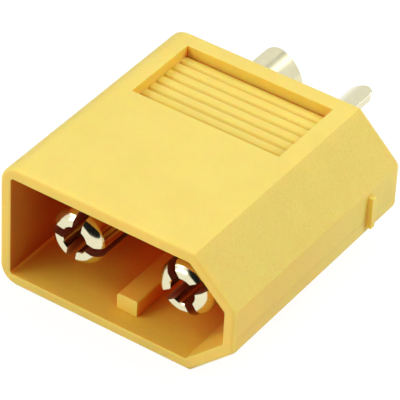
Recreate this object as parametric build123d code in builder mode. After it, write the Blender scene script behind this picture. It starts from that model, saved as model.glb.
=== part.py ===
from build123d import *
import math
import os

os.makedirs("parts", exist_ok=True)

# A two-pole power plug: one moulded housing that holds two turned contacts.
# X runs across the poles, the mouth faces -Y, and Z is up from the base face.
# The origin is on the base face, midway between the poles and at half the housing's length.

# Housing, outside
body_width = 15.7
body_height = 8.2
body_length = 16.4
chamfer_width = 2.8
chamfer_height = 2.65
corner_radius = 1.2
edge_round = 0.5
rim_round = 0.3
rear_round = 0.3

# Shroud round the pins, with the key on its floor
shroud_wall = 0.75
cavity_depth = 8.0
cavity_round = 0.2
mouth_break = 0.07
key_width = 1.35
key_height = 1.0
key_setback = 1.25
key_round = 0.1

# Ribbed grip recess, in the top and in the base
recess_width = 9.9
recess_depth = 0.8
recess_chamfer_margin = 1.13
recess_rear_margin = 1.2
rib_count = 7
rib_pitch = 0.78
rib_height = 0.16
rib_crown = 0.04
groove_flank = 0.13

# Catch on each side wall
catch_height = 2.1
catch_length = 0.36
catch_proud = 0.34
catch_to_rear = 2.96

# Contacts: split pin in front, solder cup behind
pole_pitch = 7.2
pin_radius = 1.75
pin_setback = 1.17
tip_ring_radius = 1.28
dome_radius = 0.87
dome_length = 0.52
dome_edge_round = 0.12
spring_bore_radius = 0.8
spring_bore_depth = 5.6
bore_break = 0.06
slot_width = 0.62
cup_radius = 2.28
cup_wall = 0.53
cup_reach = 4.2
cup_depth = 4.2
cup_corner = 0.8
cup_edge_break = 0.07
drill_point_angle = 118

# Seat of the contacts in the housing
front_web = 1.6
root_radius = 2.05
barb_height = 0.2
barb_length = 0.6
barb_behind_seat = 3.0
fit_clearance = 0.04

# Heights and stations that follow from the sizes above
side_x = body_width / 2
mouth_y = -body_length / 2
rear_y = body_length / 2
axis_height = body_height / 2
cavity_end_y = mouth_y + cavity_depth
seat_y = cavity_end_y + front_web
barb_y = seat_y + barb_behind_seat
pin_tip_y = mouth_y + pin_setback
cup_end_y = rear_y + cup_reach
collar_length = rear_y - seat_y
recess_rear_y = rear_y - recess_rear_margin
recess_right_x = side_x - chamfer_width - recess_chamfer_margin
mouth = Plane.XZ.offset(body_length / 2)
mid_height = Plane.XY.offset(axis_height)


def outline_corners():
    """Corners of the polarised outline: square on the left, chamfered on the right."""
    return [
        (-side_x, 0),
        (side_x - chamfer_width, 0),
        (side_x, chamfer_height),
        (side_x, body_height - chamfer_height),
        (side_x - chamfer_width, body_height),
        (-side_x, body_height),
    ]


def drill_point(radius):
    """Length of the cone that a twist drill of this radius leaves."""
    return radius / math.tan(math.radians(drill_point_angle / 2))


# Cutter for the grip recess: straight walls, and a floor of crowned ribs along X
valley_z = body_height - recess_depth
crest_z = valley_z + rib_height
shoulder_z = crest_z - rib_crown
with BuildPart() as recess:
    with BuildSketch(Plane.YZ.offset(recess_right_x)):
        with BuildLine():
            for rib in range(rib_count):
                back_y = recess_rear_y - rib * rib_pitch
                front_y = back_y - rib_pitch
                Line((back_y, valley_z), (back_y - groove_flank, shoulder_z))
                ThreePointArc(
                    (back_y - groove_flank, shoulder_z),
                    (back_y - rib_pitch / 2, crest_z),
                    (front_y + groove_flank, shoulder_z),
                )
                Line((front_y + groove_flank, shoulder_z), (front_y, valley_z))
            Polyline(
                (front_y, valley_z),
                (front_y, body_height + recess_depth),
                (recess_rear_y, body_height + recess_depth),
                (recess_rear_y, valley_z),
            )
        make_face()
    extrude(amount=-recess_width)

with BuildPart() as housing:
    with BuildSketch(mouth):
        with BuildLine():
            Polyline(*outline_corners(), close=True)
        make_face()
        fillet(vertices().group_by(Axis.X)[0], corner_radius)
        fillet(vertices().filter_by_position(Axis.X, side_x - chamfer_width, side_x), edge_round)
    extrude(amount=-body_length)

    # Shroud cavity, open at the mouth
    with BuildSketch(mouth):
        with BuildLine():
            Polyline(*outline_corners(), close=True)
        make_face()
        offset(amount=-shroud_wall, kind=Kind.INTERSECTION)
        fillet(vertices(), cavity_round)
    extrude(amount=-cavity_depth, mode=Mode.SUBTRACT)
    fillet(faces().sort_by(Axis.Y)[0].outer_wire().edges(), rim_round)
    fillet(faces().sort_by(Axis.Y)[0].inner_wires()[0].edges(), mouth_break)
    fillet(faces().sort_by(Axis.Y)[-1].outer_wire().edges(), rear_round)

    # Key on the shroud's floor, between the pins
    with BuildSketch(Plane.XY.offset(shroud_wall / 2)):
        with Locations((0, mouth_y + key_setback)):
            Rectangle(key_width, cavity_depth - key_setback, align=(Align.CENTER, Align.MIN))
    extrude(amount=shroud_wall / 2 + key_height)
    key_top = faces().filter_by_position(Axis.Z, shroud_wall + key_height, shroud_wall + key_height)
    fillet(key_top.edges().sort_by(Axis.Y)[:-1], key_round)

    # Stepped bores for the contacts, with a groove for each barb
    for pole_x in (-pole_pitch / 2, pole_pitch / 2):
        with Locations(Plane((pole_x, rear_y, axis_height), x_dir=(1, 0, 0), z_dir=(0, 1, 0))):
            CounterBoreHole(
                radius=root_radius + fit_clearance,
                counter_bore_radius=cup_radius + fit_clearance,
                counter_bore_depth=collar_length,
                depth=collar_length + front_web,
            )
        with BuildSketch(Plane.XZ.offset(-(barb_y - fit_clearance))):
            with Locations((pole_x, axis_height)):
                Circle(cup_radius + barb_height + fit_clearance)
        extrude(amount=-(barb_length + 2 * fit_clearance), mode=Mode.SUBTRACT)

    # Grip recesses
    add(recess.part, mode=Mode.SUBTRACT)
    add(mirror(recess.part, about=mid_height, mode=Mode.PRIVATE), mode=Mode.SUBTRACT)

    # Catches on the two side walls
    for side in (-1, 1):
        with BuildSketch(Plane.XY.offset(axis_height - catch_height / 2)):
            with Locations((side * side_x, rear_y - catch_to_rear - catch_length / 2)):
                Rectangle(2 * catch_proud, catch_length)
        extrude(amount=catch_height)

housing.part.label = "housing"
export_step(housing.part, "parts/housing.step")


def turned_contact(label, pole_x, slot_angle, window_side):
    """One turned contact: a split pin, a barbed collar and a half-open solder cup."""
    spring_floor_y = pin_tip_y + spring_bore_depth
    cup_floor_y = cup_end_y - cup_depth
    cup_bore_radius = cup_radius - cup_wall
    section = [
        (pin_radius, pin_tip_y + dome_length),
        (pin_radius, cavity_end_y),
        (root_radius, cavity_end_y),
        (root_radius, seat_y),
        (cup_radius, seat_y),
        (cup_radius, barb_y),
        (cup_radius + barb_height, barb_y + barb_length),
        (cup_radius, barb_y + barb_length),
        (cup_radius, cup_end_y),
        (cup_bore_radius, cup_end_y),
        (cup_bore_radius, cup_floor_y),
        (0, cup_floor_y - drill_point(cup_bore_radius)),
        (0, spring_floor_y + drill_point(spring_bore_radius)),
        (spring_bore_radius, spring_floor_y),
        (spring_bore_radius, pin_tip_y),
        (tip_ring_radius, pin_tip_y),
    ]
    with BuildPart() as contact:
        with BuildSketch(mid_height):
            with BuildLine():
                outline = Polyline(*[(pole_x + radius, y) for radius, y in section])
                RadiusArc(outline @ 0, outline @ 1, dome_radius)
            make_face()
            dome_edges = vertices().sort_by(Axis.Y)[:3].sort_by(Axis.X)[1:]
            fillet(dome_edges, dome_edge_round)
            chamfer(vertices().group_by(Axis.Y)[0].sort_by(Axis.X)[0], bore_break)
        revolve(axis=Axis((pole_x, 0, axis_height), (0, 1, 0)))

        # Two crossed saw cuts, back to the root's shoulder, divide the pin into four leaves
        with BuildSketch(Plane((pole_x, pin_tip_y, axis_height), x_dir=(1, 0, 0), z_dir=(0, -1, 0))):
            for quarter in range(2):
                Rectangle(3 * pin_radius, slot_width, rotation=slot_angle + 90 * quarter)
        extrude(amount=pin_tip_y - cavity_end_y, mode=Mode.SUBTRACT)

        # The outer half of the cup's wall is milled away, so that a wire can be laid in
        with BuildSketch(mid_height):
            with Locations((pole_x + window_side * cup_radius, cup_floor_y)):
                Rectangle(2 * cup_radius, 2 * cup_depth, align=(Align.CENTER, Align.MIN))
        extrude(amount=2 * cup_radius, both=True, mode=Mode.SUBTRACT)
        fillet(edges().filter_by(Axis.Z).group_by(Axis.Y)[-1], cup_corner)
        chamfer(faces().filter_by(Axis.X).edges().filter_by(Axis.Y), cup_edge_break)
    contact.part.label = label
    export_step(contact.part, f"parts/{label}.step")
    return contact.part


positive_contact = turned_contact("positive_contact", -pole_pitch / 2, slot_angle=-10, window_side=-1)
negative_contact = turned_contact("negative_contact", pole_pitch / 2, slot_angle=35, window_side=1)
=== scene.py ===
import math
from types import SimpleNamespace

import bpy
from mathutils import Matrix, Vector

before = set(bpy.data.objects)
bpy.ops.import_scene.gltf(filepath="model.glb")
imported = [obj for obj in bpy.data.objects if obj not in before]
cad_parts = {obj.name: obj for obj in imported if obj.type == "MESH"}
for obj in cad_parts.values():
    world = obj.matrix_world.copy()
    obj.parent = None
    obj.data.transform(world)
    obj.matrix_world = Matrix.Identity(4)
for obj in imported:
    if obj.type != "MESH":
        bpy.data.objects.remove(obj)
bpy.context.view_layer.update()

MM = 0.001

# Places on the part in the row frame, in millimetres
POLE_X = 3.6
AXIS_Z = 4.1
PARTING_Z = 3.6
OUTER_WALL_X = (7.4, 7.6)
SQUARE_WALL_X = (-6.6, -7.0)
SHROUD_BACK_Y = (-0.2, 0.6)
THIN_SIDE_Y = (8.0, -5.0)
SAW_CUT_Y = (0.3, -0.1)
BEHIND_HOUSING_Y = (8.0, 8.3)
CUP_EDGE_FROM_AXIS = (-0.055, -0.040, -0.004, -0.001)
SEAM_HALF_WIDTH = (0.06, 0.02)

# A face looks along an axis where its normal's share of that axis passes these two values
FACING = (0.90, 0.97)

# Textures, in repeats per metre
GRAIN_SCALE = 6000.0
WAVE_SCALE = 700.0
MOTTLE_SCALE = 420.0
LATHE_SCALE = 9000.0
TARNISH_SCALE = 2500.0

# Relief: full heights in millimetres, and the share of each form in the nylon's relief
GRAIN_HEIGHT = 0.04
LATHE_HEIGHT = 0.006
CHAMFER_GRAIN = 8.0
FLAT_GRAIN = 0.6
WAVE = 1.2
SEAM = 3.0

# How deep light goes into the nylon, and how far each shading looks round for walls, in millimetres
SCATTER_DEPTH = 1.0
SHROUD_REACH = 16.0
CREASE_REACH = 0.3
SAW_CUT_REACH = 1.2
SHADE_SAMPLES = 8

# Colours of the nylon, linear
NYLON = (0.825, 0.650, 0.155, 1)
NYLON_PALE = (0.845, 0.670, 0.165, 1)
NYLON_SPECK = (0.79, 0.60, 0.125, 1)
# Painted shade colours for the shroud, the recesses and the deepest hollows
NYLON_SHROUD_SHADE = (0.86, 0.52, 0.054, 1)
NYLON_RECESS_SHADE = (0.79, 0.562, 0.078, 1)
NYLON_DEEP_SHADE = (0.80, 0.10, 0.008, 1)
# Painted shade in the grooves between the ribs
NYLON_GROOVE_SHADE = (0.52, 0.26, 0.025, 1)
# Painted warmer shade on the mouth's rim and the shroud's thin sides
THIN_WALL_SHADE = (0.955, 0.855, 0.71, 1)
# Painted light for the leaning walls inside, and painted shade for the square end
LEANING_WALL_LIGHT = (1.16, 1.14, 1.15, 1)
SQUARE_END_SHADE = (0.69, 0.89, 0.93, 1)

# Colours of the contacts, linear
PLATING = (0.785, 0.735, 0.49, 1)
PLATING_PALE = (0.805, 0.76, 0.52, 1)
# Painted highlight along the milled edges of the solder cups
PLATING_EDGE_HIGHLIGHT = (1.0, 0.97, 0.76, 1)
# Painted shade with a painted red reflection in the saw cuts and the spring bore
SAW_CUT_SHADE = (0.40, 0.038, 0.005, 1)

# Light levels of the studio
WHITE = 1.0
SURROUND = 0.93
BRIGHT_STRIP = 1.9
DARK_PANEL = 0.01
WINDOW_FRAME_SHARE = 0.26
SIDE_FLAT_SHARE = 0.75
AMBIENT = 0.30
AMBIENT_DARK_END = 0.085
TABLE_GREY = 0.86
TABLE_SEEN_GREY = 0.15
TABLE_SEEN_GLOW = 0.9

# Direction of the studio's dark end, and the half angle of its soft edge in degrees
DARK_END = (0.507, -0.604, 0.616)
DARK_END_EDGE = (47, 43)
AMBIENT_EDGE = (0.5, 0.95)

# Panels of the studio, by parts of the unit direction: where each starts, is full, fades and ends
BEHIND_Y = (0.4, 0.5)
STRIP_X = (0.20, 0.40, 0.42, 0.54)
WINDOW_FRAME_X = (0.05, 0.14, 0.16, 0.26)
SIDE_FLAT_Y = (-0.12, 0.0, 0.46, 0.56)
SIDE_FLAT_Z = (0.02, 0.10, 0.30, 0.55)

# Softboxes: name, place, aim and width in millimetres, power in watts, and if the metal mirrors it
SOFTBOXES = [
    ("key", (-105, -75, 125), (0, 0, 4), 90, 0.101, True),
    ("overhead", (20, 60, 180), (0, 0, 4), 120, 0.086, True),
    ("front", (-90, -165, 60), (0, -8, 4), 90, 0.080, True),
    ("right", (115, 60, 130), (0, 0, 4), 100, 0.168, True),
    ("fill", (20, -190, 90), (0, -8, 4), 90, 0.084, False),
]

# The table, in metres: its half width, and how far it lies below the base face
TABLE_HALF_WIDTH = 1.5
TABLE_DROP = 0.02 * MM

# The photograph's viewpoint, fitted to the edges of the housing: place in millimetres, three axes
CAMERA_PLACE = (77.935, -120.736, 118.174)
CAMERA_RIGHT = (0.821508, 0.568777, 0.040204)
CAMERA_UP = (-0.379809, 0.493257, 0.782587)
CAMERA_BACK = (0.425287, -0.658172, 0.621241)
SENSOR = 36.0
LENS = 296.564
CLIP_START = 0.01
CLIP_END = 10.0


scene = bpy.context.scene
scene.view_settings.view_transform = "Standard"


def add(tree, kind, inputs=None, **settings):
    """Adds a node. Each input is filled with a value, or linked if the value is a socket."""
    made = tree.nodes.new(kind)
    for name, value in settings.items():
        setattr(made, name, value)
    for name, value in (inputs or {}).items():
        connect(tree, value, made.inputs[name])
    return made


def connect(tree, value, socket):
    """Links the socket if the value is a socket too, or else sets its constant."""
    if isinstance(value, bpy.types.NodeSocket):
        tree.links.new(value, socket)
    else:
        socket.default_value = value


def grey(level):
    return (level, level, level, 1)


def maths(tree, operation, *values, clamp=False):
    """One Math node, given its operands; returns its output."""
    inputs = dict(enumerate(values))
    return add(tree, "ShaderNodeMath", inputs, operation=operation, use_clamp=clamp).outputs[0]


def chain(tree, operation, first, *others):
    """Applies one operation from value to value, as in a product or a maximum of several."""
    for other in others:
        first = maths(tree, operation, first, other)
    return first


def times(tree, *values):
    return chain(tree, "MULTIPLY", *values)


def ramp(tree, value, low, high):
    """Maps a value smoothly from low..high to 0..1."""
    inputs = {"Value": value, "From Min": low, "From Max": high}
    return add(tree, "ShaderNodeMapRange", inputs, interpolation_type="SMOOTHSTEP").outputs[0]


def band(tree, value, start, full, fade, end):
    """0 up to start, 1 from full to fade, and 0 again from end on."""
    return times(tree, ramp(tree, value, start, full), ramp(tree, value, end, fade))


def mix_colour(tree, factor, first, second, blend="MIX"):
    """Mixes two colours; returns the Mix node's colour output."""
    made = add(tree, "ShaderNodeMix", {0: factor}, data_type="RGBA", blend_type=blend)
    sockets = [socket for socket in made.inputs if socket.type == "RGBA"]
    connect(tree, first, sockets[0])
    connect(tree, second, sockets[1])
    return [socket for socket in made.outputs if socket.type == "RGBA"][0]


def noise(tree, vector, scale, detail, roughness=0.5):
    """A Noise texture's grey value, about 0.5 on average."""
    inputs = {"Vector": vector, "Scale": scale, "Detail": detail, "Roughness": roughness}
    return add(tree, "ShaderNodeTexNoise", inputs).outputs[0]


def openness(tree, reach):
    """1 on an open surface, less where the part's own walls stand within reach, in millimetres."""
    inputs = {"Distance": reach * MM}
    made = add(tree, "ShaderNodeAmbientOcclusion", inputs, samples=SHADE_SAMPLES, only_local=True)
    return made.outputs["AO"]


def read_surface(tree):
    """A point's place, as a vector in metres and x, y, z in millimetres, and which way it faces."""
    place = add(tree, "ShaderNodeTexCoord").outputs["Object"]
    in_mm = add(tree, "ShaderNodeVectorMath", {0: place, "Scale": 1 / MM}, operation="SCALE").outputs[0]
    x, y, z = add(tree, "ShaderNodeSeparateXYZ", {0: in_mm}).outputs
    normal = add(tree, "ShaderNodeNewGeometry").outputs["Normal"]
    normal_x, normal_y, normal_z = add(tree, "ShaderNodeSeparateXYZ", {0: normal}).outputs
    sideways = maths(tree, "ABSOLUTE", normal_x)
    upright = maths(tree, "ABSOLUTE", normal_z)
    return SimpleNamespace(
        place=place, x=x, y=y, z=z,
        normal_x=normal_x, normal_y=normal_y, sideways=sideways, upright=upright,
    )


def ray_is(tree, *kinds):
    """1 where the ray is of any of these kinds, else 0."""
    path = add(tree, "ShaderNodeLightPath").outputs
    return chain(tree, "MAXIMUM", *[path[kind] for kind in kinds])


def new_material(name):
    """An empty node material with its Principled shader and output."""
    material = bpy.data.materials.new(name)
    material.use_nodes = True
    tree = material.node_tree
    tree.nodes.clear()
    shader = add(tree, "ShaderNodeBsdfPrincipled")
    add(tree, "ShaderNodeOutputMaterial", {"Surface": shader.outputs[0]})
    return material, tree, shader


def finish_shader(tree, shader, inputs):
    """Sets or links the shader's own inputs by name."""
    for name, value in inputs.items():
        connect(tree, value, shader.inputs[name])


def bump(tree, relief, strength, height):
    """A normal bent by the relief, whose full height is in millimetres."""
    inputs = {"Height": relief, "Strength": strength, "Distance": height * MM}
    return add(tree, "ShaderNodeBump", inputs).outputs[0]


def nylon_relief(tree, at, on_side, chamfer, grain):
    """Spark-eroded grain, deep on the chamfers and fine on the flats, with the mould's parting line."""
    wave = noise(tree, at.place, WAVE_SCALE, detail=2.0)
    grain_depth = maths(tree, "MULTIPLY_ADD", chamfer, CHAMFER_GRAIN, FLAT_GRAIN)
    relief = maths(tree, "MULTIPLY_ADD", grain, grain_depth, times(tree, wave, WAVE))
    off_line = maths(tree, "ABSOLUTE", maths(tree, "SUBTRACT", at.z, PARTING_Z))
    outer_wall = ramp(tree, maths(tree, "ABSOLUTE", at.x), *OUTER_WALL_X)
    seam = times(tree, on_side, ramp(tree, off_line, *SEAM_HALF_WIDTH), outer_wall)
    return maths(tree, "MULTIPLY_ADD", seam, SEAM, relief)


def nylon_colour(tree, at, on_side, chamfer, grain, mottle):
    """Pale yellow outside, with painted shade that deepens it where its own translucent walls face each
    other.
    """
    nearby = openness(tree, SHROUD_REACH)
    creased = openness(tree, CREASE_REACH)
    outer = mix_colour(tree, ramp(tree, mottle, 0.35, 0.65), NYLON, NYLON_PALE)
    speckle_share = maths(tree, "MULTIPLY_ADD", chamfer, 0.9, 0.05)
    speckle = times(tree, ramp(tree, grain, 0.56, 0.36), speckle_share)
    outer = mix_colour(tree, speckle, outer, NYLON_SPECK)

    # Painted shade, warmer and darker, on the mouth's rim and along the shroud's sides, standing in for
    # the orange inside showing through a little
    rim_shade = times(tree, ramp(tree, at.normal_y, -0.6, -0.95), ramp(tree, nearby, 0.75, 0.95))
    thin_side_shade = times(tree, on_side, ramp(tree, at.y, *THIN_SIDE_Y))
    thin_wall_shade = maths(tree, "MAXIMUM", rim_shade, thin_side_shade)
    outer = mix_colour(tree, thin_wall_shade, outer, THIN_WALL_SHADE, "MULTIPLY")

    # Painted shade: warm in the shroud and the recesses, and deepest at the shroud's back and square
    # end, where the part's own walls close in
    hollow_shade = mix_colour(tree, ramp(tree, at.y, *SHROUD_BACK_Y), NYLON_SHROUD_SHADE, NYLON_RECESS_SHADE)
    warm_shade = mix_colour(tree, ramp(tree, nearby, 1.0, 0.35), outer, hollow_shade)
    square_end_shade = times(tree, ramp(tree, at.normal_x, *FACING), ramp(tree, at.x, *SQUARE_WALL_X))
    deep_shade = maths(tree, "MULTIPLY_ADD", square_end_shade, 0.70, ramp(tree, nearby, 0.36, 0.08), clamp=True)
    shaded_inner = mix_colour(tree, deep_shade, warm_shade, NYLON_DEEP_SHADE)

    # Painted light on the leaning walls inside, and painted shade on the square end
    leaning_wall_light = times(tree, ramp(tree, at.sideways, 0.50, 0.65), ramp(tree, nearby, 0.60, 0.40))
    shaded_inner = mix_colour(tree, leaning_wall_light, shaded_inner, LEANING_WALL_LIGHT, "MULTIPLY")
    shaded_inner = mix_colour(tree, square_end_shade, shaded_inner, SQUARE_END_SHADE, "MULTIPLY")

    # Painted shade: a darker line in the grooves between the ribs
    groove_shade = times(tree, ramp(tree, creased, 0.80, 0.35), ramp(tree, at.upright, 0.30, 0.60), 0.5)
    return mix_colour(tree, groove_shade, shaded_inner, NYLON_GROOVE_SHADE)


def yellow_moulding():
    """Moulded nylon with mould grain and a little light under its surface."""
    material, tree, shader = new_material("yellow_moulding")
    at = read_surface(tree)
    on_side = ramp(tree, at.sideways, *FACING)
    chamfer = times(tree, at.sideways, at.upright)
    grain = noise(tree, at.place, GRAIN_SCALE, detail=5.0, roughness=0.7)
    mottle = noise(tree, at.place, MOTTLE_SCALE, detail=4.0)
    relief = nylon_relief(tree, at, on_side, chamfer, grain)
    finish_shader(tree, shader, {
        "Base Color": nylon_colour(tree, at, on_side, chamfer, grain, mottle),
        "Normal": bump(tree, relief, 0.6, GRAIN_HEIGHT),
        "Roughness": maths(tree, "MULTIPLY_ADD", mottle, 0.16, 0.42),
        "IOR": 1.5,
        "Specular IOR Level": 0.25,
        "Subsurface Weight": 0.6,
        "Subsurface Radius": (1.0, 0.30, 0.05),
        "Subsurface Scale": SCATTER_DEPTH * MM,
    })
    return material


def plated_contact():
    """Turned brass with a thin pale plating: fine lathe rings, and a little tarnish."""
    material, tree, shader = new_material("plated_contact")
    at = read_surface(tree)

    # The lathe's marks run as rings round the contact's own axis
    from_axis_x = maths(tree, "SUBTRACT", maths(tree, "ABSOLUTE", at.x), POLE_X)
    from_axis_z = maths(tree, "SUBTRACT", at.z, AXIS_Z)
    offset = add(tree, "ShaderNodeCombineXYZ", {0: from_axis_x, 2: from_axis_z}).outputs[0]
    radius = add(tree, "ShaderNodeVectorMath", {0: offset}, operation="LENGTH").outputs["Value"]
    lathe = add(tree, "ShaderNodeCombineXYZ", {0: radius, 1: at.y}).outputs[0]
    rings = noise(tree, lathe, LATHE_SCALE * MM, detail=2.0)
    fine = noise(tree, at.place, TARNISH_SCALE, detail=4.0)
    plating = mix_colour(tree, ramp(tree, fine, 0.3, 0.7), PLATING, PLATING_PALE)

    # A painted highlight along the milled edges of the solder cups
    cut_edge = band(tree, from_axis_x, *CUP_EDGE_FROM_AXIS)
    edge_highlight = times(tree, cut_edge, ramp(tree, at.y, *BEHIND_HOUSING_Y))
    plating = mix_colour(tree, edge_highlight, plating, PLATING_EDGE_HIGHLIGHT)

    # The saw cuts and the spring bore are rougher, with painted shade and a painted red reflection
    nearby = openness(tree, SAW_CUT_REACH)
    dull_and_shaded = times(tree, ramp(tree, nearby, 0.80, 0.45), ramp(tree, at.y, *SAW_CUT_Y))
    polish = maths(tree, "MULTIPLY_ADD", fine, 0.06, 0.08)
    polish = maths(tree, "MULTIPLY_ADD", rings, 0.06, polish)
    finish_shader(tree, shader, {
        "Base Color": mix_colour(tree, dull_and_shaded, plating, SAW_CUT_SHADE),
        "Metallic": 1.0,
        "Roughness": maths(tree, "MULTIPLY_ADD", dull_and_shaded, 0.70, polish),
        "Normal": bump(tree, rings, 0.25, LATHE_HEIGHT),
    })
    return material


def white_floor():
    """White table. The camera and the metal see it lit up to white, with the part's faint shadow."""
    material, tree, shader = new_material("table")
    seen = ray_is(tree, "Is Camera Ray", "Is Glossy Ray", "Is Transmission Ray")
    finish_shader(tree, shader, {
        "Base Color": mix_colour(tree, seen, grey(TABLE_GREY), grey(TABLE_SEEN_GREY)),
        "Emission Color": grey(TABLE_SEEN_GLOW),
        "Emission Strength": seen,
        "Roughness": 0.9,
        "Specular IOR Level": 0.0,
    })
    return material


def studio_world():
    """Soft white surround. Only metal sees its dark end, its bright strip and its dark panels."""
    world = bpy.data.worlds.new("studio")
    scene.world = world
    world.use_nodes = True
    tree = world.node_tree
    tree.nodes.clear()
    toward = add(tree, "ShaderNodeTexCoord").outputs["Generated"]
    x, y, z = add(tree, "ShaderNodeSeparateXYZ", {0: toward}).outputs
    dot = add(tree, "ShaderNodeVectorMath", {0: toward, 1: DARK_END}, operation="DOT_PRODUCT")
    dark_side = dot.outputs["Value"]

    # Behind the part stands a bright strip, with a soft dark window frame beside it
    behind = ramp(tree, y, *BEHIND_Y)
    strip = times(tree, behind, band(tree, x, *STRIP_X))
    window_frame = times(tree, behind, band(tree, x, *WINDOW_FRAME_X), WINDOW_FRAME_SHARE)

    # Low dark flats on both sides give the contacts their contrast when they are seen from the side
    side_flat = times(tree, band(tree, y, *SIDE_FLAT_Y), band(tree, z, *SIDE_FLAT_Z), SIDE_FLAT_SHARE)

    dark_end = ramp(tree, dark_side, *[math.cos(math.radians(angle)) for angle in DARK_END_EDGE])
    dark = chain(tree, "MAXIMUM", dark_end, window_frame, side_flat)
    surround = mix_colour(tree, strip, grey(SURROUND), grey(BRIGHT_STRIP))
    mirrored = mix_colour(tree, dark, surround, grey(DARK_PANEL))

    toward_dark = ramp(tree, dark_side, *AMBIENT_EDGE)
    ambient = mix_colour(tree, toward_dark, grey(AMBIENT), grey(AMBIENT_DARK_END))
    light = mix_colour(tree, ray_is(tree, "Is Glossy Ray"), ambient, mirrored)
    colour = mix_colour(tree, ray_is(tree, "Is Camera Ray", "Is Transmission Ray"), light, grey(WHITE))
    background = add(tree, "ShaderNodeBackground", {"Color": colour, "Strength": 1.0})
    add(tree, "ShaderNodeOutputWorld", {"Surface": background.outputs[0]})


def softbox(name, place, aim, width, power, mirrored):
    """A square area lamp, placed and aimed in millimetres."""
    data = bpy.data.lights.new(name, "AREA")
    data.shape = "SQUARE"
    data.size = width * MM
    data.energy = power
    lamp = bpy.data.objects.new(name, data)
    scene.collection.objects.link(lamp)
    lamp.location = Vector(place) * MM
    lamp.rotation_euler = (Vector(aim) * MM - lamp.location).to_track_quat("-Z", "Y").to_euler()
    lamp.visible_glossy = mirrored


def photo_camera():
    """The camera at the photograph's viewpoint."""
    data = bpy.data.cameras.new("camera")
    data.sensor_width = SENSOR
    data.lens = LENS
    data.clip_start = CLIP_START
    data.clip_end = CLIP_END
    camera = bpy.data.objects.new("camera", data)
    scene.collection.objects.link(camera)
    turn = Matrix((CAMERA_RIGHT, CAMERA_UP, CAMERA_BACK)).transposed().to_4x4()
    camera.matrix_world = Matrix.Translation(Vector(CAMERA_PLACE) * MM) @ turn
    scene.camera = camera


def table():
    """The plain table that the part stands on."""
    signs = ((-1, -1), (1, -1), (1, 1), (-1, 1))
    corners = [(x * TABLE_HALF_WIDTH, y * TABLE_HALF_WIDTH, -TABLE_DROP) for x, y in signs]
    mesh = bpy.data.meshes.new("table")
    mesh.from_pydata(corners, [], [(0, 1, 2, 3)])
    mesh.materials.append(white_floor())
    made = bpy.data.objects.new("table", mesh)
    scene.collection.objects.link(made)
    return made


photo_camera()
studio_world()
for lamp in SOFTBOXES:
    softbox(*lamp)
table()

plated = plated_contact()
finishes = {"housing": yellow_moulding(), "positive_contact": plated, "negative_contact": plated}
for node_name, material in finishes.items():
    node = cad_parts[node_name]
    node.data.materials.clear()
    node.data.materials.append(material)
